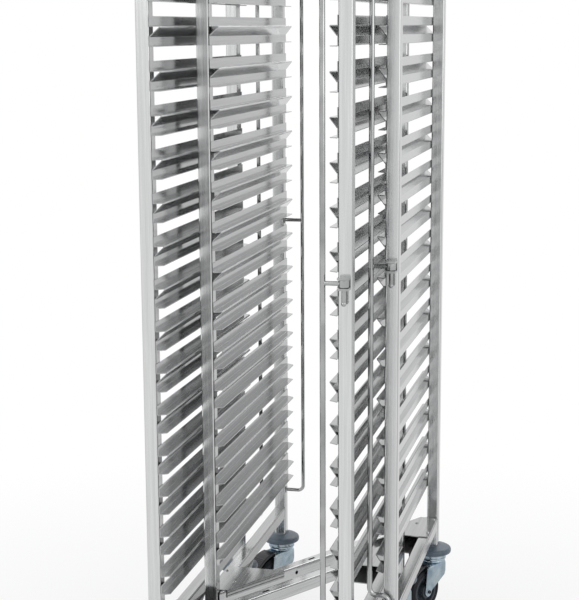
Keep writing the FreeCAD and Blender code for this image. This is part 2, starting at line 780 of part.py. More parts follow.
def all_nodes():
    """Both trolleys in their nested places, one compound for each node."""
    pieces = trolley()
    nodes = {}
    for name, (side, back) in TROLLEYS.items():
        for node, solids in pieces.items():
            shape = solids[0] if len(solids) == 1 else Part.makeCompound(solids)
            nodes[name + "_" + node] = shape.translated(vector(side, back))
    return nodes


def origin_shift(nodes):
    """Move that puts the origin under the middle of the whole pair."""
    bounds = Part.makeCompound(list(nodes.values())).optimalBoundingBox(False)
    return vector(-bounds.Center.x, -bounds.Center.y, -bounds.ZMin)


def main():
    """Write one STEP file for each node."""
    os.makedirs("parts", exist_ok=True)
    nodes = all_nodes()
    shift = origin_shift(nodes)
    for name, shape in nodes.items():
        shape.translated(shift).exportStep("parts/" + name + ".step")


if __name__ == "__main__":
    main()
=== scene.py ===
import json
import logging
import math
from dataclasses import dataclass
from enum import Enum

import bmesh
import bpy
import numpy as np
from bpy.types import Material, Node, NodeSocket, NodeTree, Object
from mathutils import Matrix, Vector


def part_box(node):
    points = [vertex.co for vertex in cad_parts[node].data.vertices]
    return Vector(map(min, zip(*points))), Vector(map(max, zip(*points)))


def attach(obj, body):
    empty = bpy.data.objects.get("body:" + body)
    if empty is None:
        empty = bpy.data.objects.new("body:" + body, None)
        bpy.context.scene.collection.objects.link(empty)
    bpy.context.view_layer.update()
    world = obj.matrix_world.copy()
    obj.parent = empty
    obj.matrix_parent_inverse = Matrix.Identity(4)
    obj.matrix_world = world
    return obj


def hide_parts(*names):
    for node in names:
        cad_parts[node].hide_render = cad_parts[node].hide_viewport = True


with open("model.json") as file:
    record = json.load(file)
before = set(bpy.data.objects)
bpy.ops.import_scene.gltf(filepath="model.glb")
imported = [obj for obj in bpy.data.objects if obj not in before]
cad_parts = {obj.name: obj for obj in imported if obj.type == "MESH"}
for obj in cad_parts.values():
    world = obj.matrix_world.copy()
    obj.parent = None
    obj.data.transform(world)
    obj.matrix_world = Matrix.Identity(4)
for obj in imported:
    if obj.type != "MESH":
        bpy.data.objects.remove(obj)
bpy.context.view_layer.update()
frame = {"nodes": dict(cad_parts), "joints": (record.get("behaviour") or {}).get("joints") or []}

LOG = logging.getLogger("trolley")
MM = 0.001
CORNERS = ("front_left", "front_right", "rear_left", "rear_right")
BRAKED = ("rear_left", "rear_right")
Grids = list[tuple[np.ndarray, bool]]    # point grids, each with True if closed both ways


class Trolley(Enum):
    """The two trolleys of the pair, named as their nodes are."""

    LEAD = "lead"
    NESTED = "nested"


class Grain(Enum):
    """Direction in which a metal face was brushed."""

    UP = "up"
    DEEP = "deep"
    SLANTED = "slanted"


# --- Surfaces --------------------------------------------------------------------------


def joint(name: str) -> dict:
    """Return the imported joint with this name."""
    return next(entry for entry in frame["joints"] if entry["name"] == name)


def softened(outline: np.ndarray, reach: np.ndarray | float, steps: int = 5) -> np.ndarray:
    """Round the corners of a closed outline.

    Each corner P becomes the quadratic curve from P + reach towards the point before it
    to P + reach towards the point after it, with P as its control point.

    Args:
        outline: Corner points, shape (k, 2).
        reach: How far each curve starts from its corner, one value or one for each.
        steps: Points on each curve.

    Returns:
        Points of the rounded outline, shape (k * steps, 2).
    """
    corner = np.asarray(outline, float)
    length = np.broadcast_to(np.asarray(reach, float), len(corner))[:, None]
    back = np.roll(corner, 1, 0) - corner
    ahead = np.roll(corner, -1, 0) - corner
    start = corner + length * back / np.linalg.norm(back, axis=1, keepdims=True)
    end = corner + length * ahead / np.linalg.norm(ahead, axis=1, keepdims=True)
    t = np.linspace(0, 1, steps)[None, :, None]
    curve = (1 - t) ** 2 * start[:, None] + 2 * t * (1 - t) * corner[:, None] + t**2 * end[:, None]
    return curve.reshape(-1, 2)


def turned(profile: np.ndarray, count: int = 64, radius_at: np.ndarray | None = None) -> np.ndarray:
    """Surface of revolution: (r, z) carried round Z as (r cos a, r sin a, z).

    Args:
        profile: Radius and height along the profile, shape (k, 2).
        count: Points round the axis.
        radius_at: Largest radius allowed at each angle, or None.

    Returns:
        Grid of points, shape (k, count, 3).
    """
    angle = round_angles(count)
    radius = np.repeat(profile[:, :1], count, 1)
    if radius_at is not None:
        radius = np.minimum(radius, radius_at[None, :])
    height = np.repeat(profile[:, 1:], count, 1)
    return np.stack([radius * np.cos(angle), radius * np.sin(angle), height], -1)


def round_angles(count: int) -> np.ndarray:
    """Angles of this many points spread evenly round a circle."""
    return np.linspace(0, 2 * math.pi, count, endpoint=False)


def both_halves(half: list[tuple[float, float]]) -> np.ndarray:
    """Profile of (r, z) points whose other half is the same with z turned to -z."""
    return np.array(half + [(r, -z) for r, z in reversed(half)])


def hexagon_reach(across_flats: float, count: int) -> np.ndarray:
    """Radius of a hexagon at each angle: the apothem over cos of the angle to it.

    Args:
        across_flats: Width of the hexagon.
        count: Number of angles round the axis.

    Returns:
        The radius at each angle.
    """
    angle = round_angles(count)
    sector = math.pi / 3
    return across_flats / 2 / np.cos((angle + sector / 2) % sector - sector / 2)


def right_angle_path(points: list[tuple[float, float, float]], bend: float) -> np.ndarray:
    """Path of straight runs with a quarter circle of the same radius at each inner point.

    A corner P with unit vectors b back and a ahead has its centre at P + R b + R a, and its
    arc is centre - R (a cos t + b sin t) for t from 0 to a quarter turn.

    Args:
        points: Ends and corners of the runs.
        bend: Radius R of the quarter circles.

    Returns:
        Points of the path, shape (k, 3).
    """
    path = np.asarray(points, float)
    corner = path[1:-1]
    back = path[:-2] - corner
    ahead = path[2:] - corner
    back = (back / np.linalg.norm(back, axis=1, keepdims=True))[:, None]
    ahead = (ahead / np.linalg.norm(ahead, axis=1, keepdims=True))[:, None]
    t = np.linspace(0, math.pi / 2, 9)[None, :, None]
    centre = corner[:, None] + bend * (back + ahead)
    arc = centre - bend * (ahead * np.cos(t) + back * np.sin(t))
    return np.concatenate([path[:1], arc.reshape(-1, 3), path[-1:]])


def rod_along(path: np.ndarray, radius: float, normal: tuple, count: int = 20) -> np.ndarray:
    """Round rod along a path that lies in one plane, with chamfered closed ends.

    Each ring is path + r (cos a N + sin a B), where B is the plane's normal and N the cross
    product of B and the path's direction.

    Args:
        path: Points of the path, shape (k, 3).
        radius: Radius of the rod.
        normal: Normal of the path's plane.
        count: Points on each ring.

    Returns:
        Grid of points, shape (k + 4, count, 3).
    """
    chamfer = 0.15 * radius
    step = np.diff(path, axis=0)
    step = step / np.linalg.norm(step, axis=1, keepdims=True)
    along = np.concatenate([step[:1], step[:-1] + step[1:], step[-1:]])
    along = along / np.linalg.norm(along, axis=1, keepdims=True)
    first = path[:1] + along[:1] * chamfer
    last = path[-1:] - along[-1:] * chamfer
    line = np.concatenate([path[:1], path[:1], first, path[1:-1], last, path[-1:], path[-1:]])
    along = np.concatenate([along[:1], along[:1], along, along[-1:], along[-1:]])
    size = np.full(len(line), radius)
    size[[0, -1]] = 0
    size[[1, -2]] = radius - chamfer
    binormal = np.broadcast_to(np.asarray(normal, float), along.shape)
    side = np.cross(binormal, along)
    angle = round_angles(count)[None, :, None]
    ring = np.cos(angle) * side[:, None] + np.sin(angle) * binormal[:, None]
    return line[:, None] + size[:, None, None] * ring


def weld_along(start: tuple, end: tuple, width: float, pitch: float = 2.2) -> np.ndarray:
    """Weld bead on a straight line: a rod whose radius swells once for each ripple.

    The radius at a distance s is w/2 (1 + 0.16 cos(2 pi s / pitch)), and it closes at the
    ends as a half ellipse.

    Args:
        start: First point of the line.
        end: Last point of the line.
        width: Width w of the bead.
        pitch: Distance between ripples.

    Returns:
        Grid of points, shape (k, 8, 3).
    """
    first, last = np.asarray(start, float), np.asarray(end, float)
    run = last - first
    length = float(np.linalg.norm(run))
    share = np.linspace(0, 1, max(12, int(4 * length / pitch)))
    swell = 1 + 0.16 * np.cos(2 * math.pi * share * length / pitch)
    ends = np.sqrt(np.clip(1 - (2 * share - 1) ** 12, 0, 1))
    size = width / 2 * swell * ends
    helper = np.array([0.0, 0.0, 1.0]) if abs(run[2]) < 0.9 * length else np.array([1.0, 0, 0])
    side = np.cross(run / length, helper)
    side = side / np.linalg.norm(side)
    binormal = np.cross(run / length, side)
    angle = round_angles(8)[None, :, None]
    ring = np.cos(angle) * side + np.sin(angle) * binormal
    line = first + share[:, None] * run
    return line[:, None] + size[:, None, None] * ring


def laid_on_axle(grid: np.ndarray, centre: tuple[float, float]) -> np.ndarray:
    """Turn a surface made about Z so that its axis is Y, and put it at (x, z)."""
    x, z = centre
    return np.stack([grid[..., 0] + x, -grid[..., 2], grid[..., 1] + z], -1)


@dataclass(frozen=True)
class Place:
    """Turn about Z and shift that put a piece drawn in millimetres into the frame."""

    x: float = 0.0
    y: float = 0.0
    z: float = 0.0
    angle: float = 0.0

    def put(self, grid: np.ndarray) -> np.ndarray:
        """Turn a grid by the matrix of the angle and shift it.

        Args:
            grid: Points in millimetres.

        Returns:
            The points in the frame, in metres.
        """
        cosine, sine = math.cos(self.angle), math.sin(self.angle)
        turn = np.array([[cosine, sine, 0.0], [-sine, cosine, 0.0], [0.0, 0.0, 1.0]])
        return grid * MM @ turn + np.array([self.x, self.y, self.z])


@dataclass(frozen=True)
class Look:
    """A built finish and the record's slot that it belongs to."""

    material: Material
    slot: str

    def paint(self, thing: Object) -> None:
        """Give an object this material alone."""
        thing.data.materials.clear()
        thing.data.materials.append(self.material)


def piece(name: str, grids: Grids, place: Place, body: str, node: str, look: Look) -> None:
    """Make one object from grids of points, tie it to the frame and finish it.

    A grid of n by m points becomes (n - 1) m quads closed round its second direction, or
    n m quads if it is closed both ways. Doubles are merged, faces turned outwards, and edges
    that turn by more than 38 degrees stay crisp.

    Args:
        name: Name of the piece.
        grids: Point grids in millimetres, each with True if it is closed both ways.
        place: Where they go.
        body: CAD body that carries the piece.
        node: CAD node that the piece stands for.
        look: Finish of the piece.
    """
    points, faces, used = [], [], 0
    for grid, closed in grids:
        rows, columns = grid.shape[:2]
        row = np.arange(rows if closed else rows - 1)
        column = np.arange(columns)
        r, c = np.meshgrid(row, column, indexing="ij")
        r_next, c_next = (r + 1) % rows, (c + 1) % columns
        quads = np.stack(
            [r * columns + c, r_next * columns + c, r_next * columns + c_next, r * columns + c_next],
            -1,
        )
        faces.append(quads.reshape(-1, 4) + used)
        points.append(place.put(grid).reshape(-1, 3))
        used += rows * columns
    mesh = bpy.data.meshes.new(name)
    mesh.from_pydata(np.concatenate(points).tolist(), [], np.concatenate(faces).tolist())
    work = bmesh.new()
    work.from_mesh(mesh)
    bmesh.ops.remove_doubles(work, verts=work.verts, dist=1e-6)
    bmesh.ops.recalc_face_normals(work, faces=work.faces)
    work.to_mesh(mesh)
    work.free()
    mesh.polygons.foreach_set("use_smooth", np.ones(len(mesh.polygons), bool))
    mesh.set_sharp_from_angle(angle=math.radians(38))
    thing = bpy.data.objects.new(name, mesh)
    bpy.context.scene.collection.objects.link(thing)
    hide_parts(node)
    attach(thing, body)
    look.paint(thing)
    LOG.info("%s: %d faces", name, len(mesh.polygons))


# --- Finishes --------------------------------------------------------------------------


def linear(colour: str) -> tuple[float, float, float, float]:
    """Turn an sRGB hex colour into the linear colour that a node takes."""
    parts = [int(colour[i : i + 2], 16) / 255 for i in (1, 3, 5)]
    return (*[p / 12.92 if p <= 0.04045 else ((p + 0.055) / 1.055) ** 2.4 for p in parts], 1.0)


def add_node(tree: NodeTree, kind: str, links: dict | None = None, **settings: str) -> Node:
    """Add a node, set its properties and inputs, and link what is a socket.

    Args:
        tree: Node tree that gets the node.
        kind: Blender's name for the node type.
        links: Input name or index to a value, or to the output socket that feeds it.
        settings: Properties of the node.

    Returns:
        The new node.
    """
    node = tree.nodes.new(kind)
    for key, value in settings.items():
        setattr(node, key, value)
    for key, value in (links or {}).items():
        if isinstance(value, NodeSocket):
            tree.links.new(value, node.inputs[key])
        else:
            node.inputs[key].default_value = value
    return node


def new_material(name: str) -> tuple[Material, NodeTree, Node]:
    """Make a node material with nothing but its surface shader.

    Args:
        name: Name of the material.

    Returns:
        The material, its node tree and its shader.
    """
    material = bpy.data.materials.new(name)
    material.use_nodes = True
    tree = material.node_tree
    shader = next(n for n in tree.nodes if n.type == "BSDF_PRINCIPLED")
    return material, tree, shader


def spread(tree: NodeTree, factor: NodeSocket, low: float, high: float) -> NodeSocket:
    """Spread a noise value, which stays between 0.3 and 0.7, over a range.

    Args:
        tree: Node tree that gets the node.
        factor: Output of the noise.
        low: Value that 0.3 becomes.
        high: Value that 0.7 becomes.

    Returns:
        Output socket of the spread value.
    """
    node = add_node(
        tree, "ShaderNodeMapRange",
        {"Value": factor, "From Min": 0.3, "From Max": 0.7, "To Min": low, "To Max": high},
    )
    return node.outputs["Result"]


def blend_colours(tree: NodeTree, factor: NodeSocket, dark: str, light: str) -> NodeSocket:
    """Mix two colours by a noise value.

    Args:
        tree: Node tree that gets the nodes.
        factor: Output of the noise.
        dark: Hex colour where the noise is low.
        light: Hex colour where it is high.

    Returns:
        Output socket of the colour.
    """
    share = spread(tree, factor, 0.0, 1.0)
    node = add_node(tree, "ShaderNodeMix", data_type="RGBA")
    node.inputs[6].default_value = linear(dark)
    node.inputs[7].default_value = linear(light)
    tree.links.new(share, node.inputs[0])
    return node.outputs[2]


def set_surface(
    tree: NodeTree, shader: Node, colour: NodeSocket, rough: NodeSocket,
    relief: tuple[NodeSocket, float, float] | None = None,
) -> None:
    """Link what a finish has worked out to its shader.

    Args:
        tree: Node tree of the material.
        shader: Its surface shader.
        colour: Output of the base colour.
        rough: Output of the roughness.
        relief: Height output, strength and depth in millimetres of the bump, if there is one.
    """
    tree.links.new(colour, shader.inputs["Base Color"])
    tree.links.new(rough, shader.inputs["Roughness"])
    if relief:
        height, strength, depth = relief
        bump = add_node(
            tree, "ShaderNodeBump", {"Height": height, "Strength": strength, "Distance": depth * MM}
        )
        tree.links.new(bump.outputs["Normal"], shader.inputs["Normal"])


class Finish:
    """What the finishes share: each builds its material from its fields."""

    def build(self) -> Material:
        """Build the node material, as each finish does in its own way."""
        raise NotImplementedError

    def look(self, slot: str) -> Look:
        """Build the material as the look of pieces in this slot of the record."""
        return Look(self.build(), slot)


@dataclass(frozen=True)
class BrushedStainless(Finish):
    """Stainless steel 1.4301, belt ground along one direction and then cleaned.

    The eye gets fine straight lines along the grain, a soft broad sheen, long pale and dark
    streaks from the rolling, and painted shade that makes the faces that look along X darker.
    """

    name: str
    dark: str = "#A9A9A9"
    light: str = "#C9C9C9"
    grain: Grain = Grain.UP
    slant: float = 0.0
    side: float = 0.9        # painted shade: brightness of faces that look along X
    roughness: float = 0.15
    metallic: float = 0.9    # the rest is the haze of the fine grinding marks
    line_mm: float = 0.6     # real grit leaves 0.05 mm lines, drawn coarser so that they show
    line_length_mm: float = 90.0
    streak_mm: float = 5.0
    streak_length_mm: float = 260.0
    bump: float = 0.12
    depth_mm: float = 0.02

    def along_grain(self, tree: NodeTree, place: NodeSocket, width: float, length: float) -> NodeSocket:
        """Noise drawn out along the grain.

        Args:
            tree: Node tree that gets the nodes.
            place: Coordinates, already turned so that the grain runs along an axis.
            width: Size of the noise across the grain, in millimetres.
            length: Its size along the grain, in millimetres.

        Returns:
            Output socket of the noise.
        """
        thin, long = 1 / (width * MM), 1 / (length * MM)
        scale = (thin, thin, long) if self.grain is Grain.UP else (thin, long, thin)
        at = add_node(tree, "ShaderNodeMapping", {"Vector": place, "Scale": scale}).outputs["Vector"]
        return add_node(
            tree, "ShaderNodeTexNoise", {"Vector": at, "Scale": 1.0, "Detail": 3.0}
        ).outputs["Fac"]

    def painted_side_shade(self, tree: NodeTree, normal: NodeSocket) -> NodeSocket:
        """Painted shade: brightness 1 on faces that look up, down or along Y, and side on those along X.

        Args:
            tree: Node tree that gets the nodes.
            normal: Output of the surface's direction in the object.

        Returns:
            Output socket of the brightness.
        """
        across = add_node(tree, "ShaderNodeSeparateXYZ", {"Vector": normal}).outputs["X"]
        share = add_node(tree, "ShaderNodeMath", {0: across}, operation="ABSOLUTE").outputs[0]
        return add_node(
            tree, "ShaderNodeMapRange",
            {"Value": share, "From Min": 0.4, "From Max": 0.8, "To Min": 1.0, "To Max": self.side},
        ).outputs["Result"]

    def build(self) -> Material:
        """Build the node material.

        Returns:
            The material.
        """
        material, tree, shader = new_material(self.name)
        coordinates = add_node(tree, "ShaderNodeTexCoord").outputs
        place = add_node(
            tree, "ShaderNodeMapping", {"Vector": coordinates["Object"], "Rotation": (0, 0, self.slant)}
        ).outputs["Vector"]
        lines = self.along_grain(tree, place, self.line_mm, self.line_length_mm)
        streaks = self.along_grain(tree, place, self.streak_mm, self.streak_length_mm)
        both = add_node(
            tree, "ShaderNodeMix", {0: 0.6, 2: lines, 3: streaks}, data_type="FLOAT"
        ).outputs[0]
        # The base colour is darkened on faces that look along X: painted shade.
        colour = add_node(
            tree, "ShaderNodeHueSaturation",
            {
                "Color": blend_colours(tree, both, self.dark, self.light),
                "Value": self.painted_side_shade(tree, coordinates["Normal"]),
            },
        ).outputs["Color"]
        rough = spread(tree, both, self.roughness - 0.04, self.roughness + 0.06)
        set_surface(tree, shader, colour, rough, (lines, self.bump, self.depth_mm))
        shader.inputs["Metallic"].default_value = self.metallic
        return material


@dataclass(frozen=True)
class DrawnRod(Finish):
    """Cold drawn stainless rod, mirror polished.

    The eye gets a bright tight highlight along the rod with faint draw marks.
    """

    name: str = "drawn_stainless_rod"
    dark: str = "#959696"
    light: str = "#B4B5B5"
    roughness: float = 0.14
    mark_mm: float = 1.2
    cloud_mm: float = 60.0

    def build(self) -> Material:
        """Build the node material.

        Returns:
            The material.
        """
        material, tree, shader = new_material(self.name)
        place = add_node(tree, "ShaderNodeTexCoord").outputs["Object"]
        marks_at = add_node(
            tree, "ShaderNodeMapping",
            {"Vector": place, "Scale": (1 / (self.mark_mm * MM), 1 / (self.mark_mm * MM), 12.0)},
        ).outputs["Vector"]
        marks = add_node(
            tree, "ShaderNodeTexNoise", {"Vector": marks_at, "Scale": 1.0, "Detail": 2.0}
        ).outputs["Fac"]
        clouds = add_node(
            tree, "ShaderNodeTexNoise",
            {"Vector": place, "Scale": 1 / (self.cloud_mm * MM), "Detail": 3.0},
        ).outputs["Fac"]
        colour = blend_colours(tree, clouds, self.dark, self.light)
        rough = spread(tree, marks, self.roughness - 0.05, self.roughness + 0.08)
        set_surface(tree, shader, colour, rough)
        shader.inputs["Metallic"].default_value = 1.0
        return material


@dataclass(frozen=True)
class ZincPlated(Finish):
    """Pressed steel, bright zinc plated and blue passivated.

    The eye gets a bluish silver with faint straw and blue patches and a fine grain.
    """

    name: str = "zinc_plated_steel"
    dark: str = "#778A9A"
    light: str = "#AEBCC7"
    straw: str = "#A9AFA4"
    roughness: float = 0.22
    grain_mm: float = 0.9
    patch_mm: float = 26.0
    bump: float = 0.2
    depth_mm: float = 0.03

    def build(self) -> Material:
        """Build the node material.

        Returns:
            The material.
        """
        material, tree, shader = new_material(self.name)
        place = add_node(tree, "ShaderNodeTexCoord").outputs["Object"]
        patches = add_node(
            tree, "ShaderNodeTexNoise",
            {"Vector": place, "Scale": 1 / (self.patch_mm * MM), "Detail": 3.0, "Distortion": 0.6},
        )
        grain = add_node(
            tree, "ShaderNodeTexNoise",
            {"Vector": place, "Scale": 1 / (self.grain_mm * MM), "Detail": 2.0},
        ).outputs["Fac"]
        blue = blend_colours(tree, patches.outputs["Fac"], self.dark, self.light)
        tint = add_node(tree, "ShaderNodeMix", data_type="RGBA")
        share = add_node(
            tree, "ShaderNodeTexNoise",
            {"Vector": place, "Scale": 0.6 / (self.patch_mm * MM), "Detail": 1.0},
        ).outputs["Fac"]
        tree.links.new(spread(tree, share, 0.0, 0.35), tint.inputs[0])
        tree.links.new(blue, tint.inputs[6])
        tint.inputs[7].default_value = linear(self.straw)
        rough = spread(tree, grain, self.roughness - 0.06, self.roughness + 0.1)
        set_surface(tree, shader, tint.outputs[2], rough, (grain, self.bump, self.depth_mm))
        shader.inputs["Metallic"].default_value = 1.0
        return material


@dataclass(frozen=True)
class MouldedPolymer(Finish):
    """Injection moulded rubber or plastic with a fine spark-eroded grain and some dust.

    The eye gets an even colour with a soft sheen, paler where dust and scuffs lie.
    """

    name: str
    base: str
    worn: str
    roughness: float
    specular: float = 0.5
    grain_mm: float = 0.8
    scuff_mm: float = 14.0
    bump: float = 0.35
    depth_mm: float = 0.06

    def build(self) -> Material:
        """Build the node material.

        Returns:
            The material.
        """
        material, tree, shader = new_material(self.name)
        place = add_node(tree, "ShaderNodeTexCoord").outputs["Object"]
        grain = add_node(
            tree, "ShaderNodeTexNoise",
            {"Vector": place, "Scale": 1 / (self.grain_mm * MM), "Detail": 3.0},
        ).outputs["Fac"]
        scuffs = add_node(
            tree, "ShaderNodeTexNoise",
            {"Vector": place, "Scale": 1 / (self.scuff_mm * MM), "Detail": 6.0, "Roughness": 0.7},
        ).outputs["Fac"]
        colour = blend_colours(tree, scuffs, self.base, self.worn)
        rough = spread(tree, scuffs, self.roughness - 0.08, self.roughness + 0.1)
        set_surface(tree, shader, colour, rough, (grain, self.bump, self.depth_mm))
        shader.inputs["Specular IOR Level"].default_value = self.specular
        return material


# --- Sub-assemblies --------------------------------------------------------------------


@dataclass
class Finishes:
    """All finishes of the pair, built once and shared."""

    slant: float

    def __post_init__(self) -> None:
        """Build the materials."""
        # side sets the painted shade on faces that look along X.
        self.upright = BrushedStainless(
            "ground_stainless_tube", dark="#C4C5C5", light="#DDDEDE", side=0.66
        ).look("brushed_tube")
        self.runner = BrushedStainless(
            "folded_stainless_sheet", dark="#A3A4A5", light="#BABBBB", grain=Grain.DEEP,
            roughness=0.13, metallic=0.85,
        ).look("runner_sheet")
        self.rail = BrushedStainless(
            "satin_stainless_tube", dark="#A6A7A7", light="#C4C5C5", grain=Grain.DEEP,
            side=0.5, metallic=0.85,
        ).look("base_sheet")
        self.plate = BrushedStainless(
            "satin_stainless_plate", dark="#A3A4A4", light="#BFC0C0", grain=Grain.DEEP, metallic=0.8
        ).look("base_sheet")
        self.diagonal = BrushedStainless(
            "satin_stainless_diagonal", dark="#BDBEBE", light="#DCDDDD",
            grain=Grain.SLANTED, slant=self.slant, side=0.85,
        ).look("base_sheet")
        self.rod = DrawnRod().look("polished_rod")
        self.zinc = ZincPlated().look("zinc_plate")
        self.bumper = MouldedPolymer(
            "blue_grey_bumper_rubber", "#4E5A66", "#5F6D7A", roughness=0.42
        ).look("bumper_rubber")
        self.tyre = MouldedPolymer(
            "dark_tyre_rubber", "#121318", "#1E2027", roughness=0.5, specular=0.25
        ).look("wheel_rubber")
        self.centre = MouldedPolymer(
            "dark_grey_polyamide_centre", "#33383E", "#444A50", roughness=0.42, specular=0.3
        ).look("wheel_rubber")
        self.pedal = MouldedPolymer(
            "black_polyamide_pedal", "#141418", "#222228", roughness=0.3
        ).look("pedal_plastic")
        self.oxide = MouldedPolymer(
            "black_oxide_screw", "#20262C", "#343B42", roughness=0.35
        ).look("zinc_plate")


@dataclass
class FrameWork:
    """The welded and riveted frame of one trolley: uprights, walls, base and top."""

    trolley: Trolley
    finishes: Finishes
    tube: float = 25.0
    plate: float = 2.0
    plate_start: float = 27.0
    plate_end: float = 158.0
    skirt: float = 14.0
    bead: float = 1.7
    bead_sink: float = 0.3                          # share of its radius
    bead_drops: tuple[float, float] = (0.3, 0.75)   # shares of the skirt's height
    weld: float = 2.0
    weld_sink: float = 0.4
    rivet_head: float = 8.0
    rivet_height: float = 2.4
    rivet_side: float = 7.8
    rivet_depths: tuple[float, float, float] = (40.0, 132.0, 72.0)
    rivet_off: float = 8.0

    def __post_init__(self) -> None:
        """Read the height of the side rails from the frame."""
        low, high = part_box(self.node("left_base_rail"))
        self.rail_bottom, self.rail_top = low.z / MM, high.z / MM

    def node(self, name: str) -> str:
        """Full node name of a piece of this trolley."""
        return f"{self.trolley.value}_{name}"

    def add(self, name: str, grids: Grids, look: Look) -> None:
        """Make one piece of the frame that stands with the node of the rivets."""
        piece(self.node(name), grids, Place(), self.node("frame"), self.node("rivets"), look)

    def dress(self) -> None:
        """Give the frame's nodes their finishes."""
        looks = {
            self.finishes.upright: [f"{c}_upright" for c in CORNERS] + ["top_rails"],
            self.finishes.runner: ["left_runners", "right_runners"],
            self.finishes.rail: ["left_base_rail", "right_base_rail"],
            self.finishes.plate: ["corner_plates"],
            self.finishes.diagonal: ["base_diagonal", "top_diagonal"],
            self.finishes.rod: ["stop_bar_brackets"],
        }
        for look, names in looks.items():
            for name in names:
                look.paint(frame["nodes"][self.node(name)])
        LOG.info("%s frame dressed", self.trolley.value)

    def build_welds(self) -> None:
        """Lay weld beads where the ends of the side rails meet the uprights."""
        grids = []
        sink = self.weld_sink
        top, bottom = self.rail_top - sink, self.rail_bottom + sink
        for side in ("left", "right"):
            low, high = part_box(self.node(f"{side}_base_rail"))
            outer, inner = low.x / MM + sink, high.x / MM - sink
            for y in (low.y / MM, high.y / MM):
                for x in (outer, inner):
                    grids.append((weld_along((x, y, bottom), (x, y, top), self.weld), False))
                for z in (bottom, top):
                    grids.append((weld_along((outer, y, z), (inner, y, z), self.weld), False))
        self.add("rail_welds", grids, self.finishes.rod)

    def corners(self) -> tuple[np.ndarray, np.ndarray]:
        """Outer corners of the base seen from above.

        Returns:
            The front left corner and the rear right one, in millimetres.
        """
        front_left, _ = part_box(self.node("front_left_upright"))
        _, rear_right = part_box(self.node("rear_right_upright"))
        return np.array([front_left.x, front_left.y]) / MM, np.array([rear_right.x, rear_right.y]) / MM

    def on_diagonal(self, depth: float, side: float) -> tuple[float, float]:
        """Point on a line beside the diagonal: the middle line's slope times the depth, shifted.

        Args:
            depth: Distance from the base's front.
            side: Distance to the right of the diagonal's middle line.

        Returns:
            The point, seen from the front left corner.
        """
        near, far = self.corners()
        run = far - near - self.tube
        sideways = side * math.hypot(*run) / run[1]
        return self.tube / 2 + (depth - self.tube / 2) * run[0] / run[1] + sideways, depth

    def rivet_places(self) -> np.ndarray:
        """Feet of the rivets' heads: at each corner two on the side rail and one on the diagonal.

        Returns:
            The points, shape (6, 3).
        """
        near, far = self.corners()
        places = [(self.rivet_side, depth) for depth in self.rivet_depths[:2]]
        places.append(self.on_diagonal(self.rivet_depths[2], -self.rivet_off))
        both = np.concatenate([near + places, far - places])
        return np.column_stack([both, np.full(len(both), self.rail_top + self.plate)])

    def build_skirts(self) -> None:
        """Press two beads into the fold of each upper corner plate: rods along the diagonal."""
        near, far = self.corners()
        grids = []
        side = self.tube / 2 + self.plate - self.bead_sink * self.bead
        ends = [self.on_diagonal(depth, side) for depth in (self.plate_start, self.plate_end)]
        for drop in self.bead_drops:
            for corner in (near + ends, far - ends):
                height = self.rail_top - drop * self.skirt
                points = np.column_stack([corner, np.full(2, height)])
                path = np.array([points[0], points.mean(0), points[1]])
                grids.append((rod_along(path, self.bead, (0, 0, 1), 12), False))
        self.add("plate_beads", grids, self.finishes.plate)

    def build_rivets(self) -> None:
        """Set a domed rivet in each hole of the corner plates: a cap of a ball on a flat foot."""
        half, height = self.rivet_head / 2, self.rivet_height
        ball = (half * half + height * height) / (2 * height)
        angle = np.linspace(0, math.asin(half / ball), 9)
        dome = np.stack([ball * np.sin(angle), height - ball * (1 - np.cos(angle))], -1)
        cap = turned(np.concatenate([dome, [[0.0, 0.0]]]), 24)
        grids = [(cap + place, False) for place in self.rivet_places()]
        self.add("domed_rivets", grids, self.finishes.rod)


@dataclass
class StopBar:
    """Swinging bar at the front: long rod, bent pivoting ends, arm and sleeve."""

    trolley: Trolley
    finishes: Finishes
    rod: float = 10.0
    arm: float = 37.0
    bend: float = 14.0
    hook: float = 22.0
    arm_rod: float = 8.0
    sleeve: float = 17.0
    sleeve_height: float = 13.4
    sleeve_bore: float = 8.1

    def build(self) -> None:
        """Build the bar about its hinge axis: rod in the X-Z plane, sleeve turned about Z."""
        name = self.trolley.value
        hinge = joint(f"{name}_stop_bar_swing")["pos_m"]
        place = Place(x=hinge[0], y=hinge[1])
        level = hinge[2] / MM
        low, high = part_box(f"{name}_stop_bar")
        low_end, high_end = low.z / MM, high.z / MM
        bottom, top = low_end + self.hook, high_end - self.hook
        path = right_angle_path(
            [
                (0, 0, low_end), (0, 0, bottom), (-self.arm, 0, bottom),
                (-self.arm, 0, top), (0, 0, top), (0, 0, high_end),
            ],
            self.bend,
        )
        bar = rod_along(path, self.rod / 2, (0, 1, 0), 24)
        arm_path = np.array([(-self.arm, 0, level), (-self.sleeve / 2 + 1.5, 0, level)])
        arm = rod_along(arm_path, self.arm_rod / 2, (0, 1, 0), 20)
        half, bore = self.sleeve_height / 2, self.sleeve_bore / 2
        ring = [(bore, -half), (self.sleeve / 2, -half), (self.sleeve / 2, half), (bore, half)]
        sleeve = turned(softened(np.array(ring), np.array([0.2, 1.2, 1.2, 0.2])), 48)
        sleeve = sleeve + np.array([0, 0, level])
        grids = [(bar, False), (arm, False), (sleeve, True), (self.collar(level), True)]
        node = f"{name}_stop_bar"
        piece(f"{name}_swinging_stop_bar", grids, place, node, node, self.finishes.rod)

    def collar(self, level: float) -> np.ndarray:
        """Weld collar where the arm meets the rod: a thin ring turned about the arm's axis.

        Args:
            level: Height of the arm.

        Returns:
            Grid of points, closed both ways.
        """
        radius = self.arm_rod / 2
        angle = round_angles(10)
        profile = np.stack([radius + 0.8 * np.cos(angle), 0.9 * np.sin(angle)], -1)
        ring = turned(profile, 28)
        x = -self.arm + self.rod / 2 - 0.6
        return np.stack([ring[..., 2] + x, ring[..., 1], ring[..., 0] + level], -1)


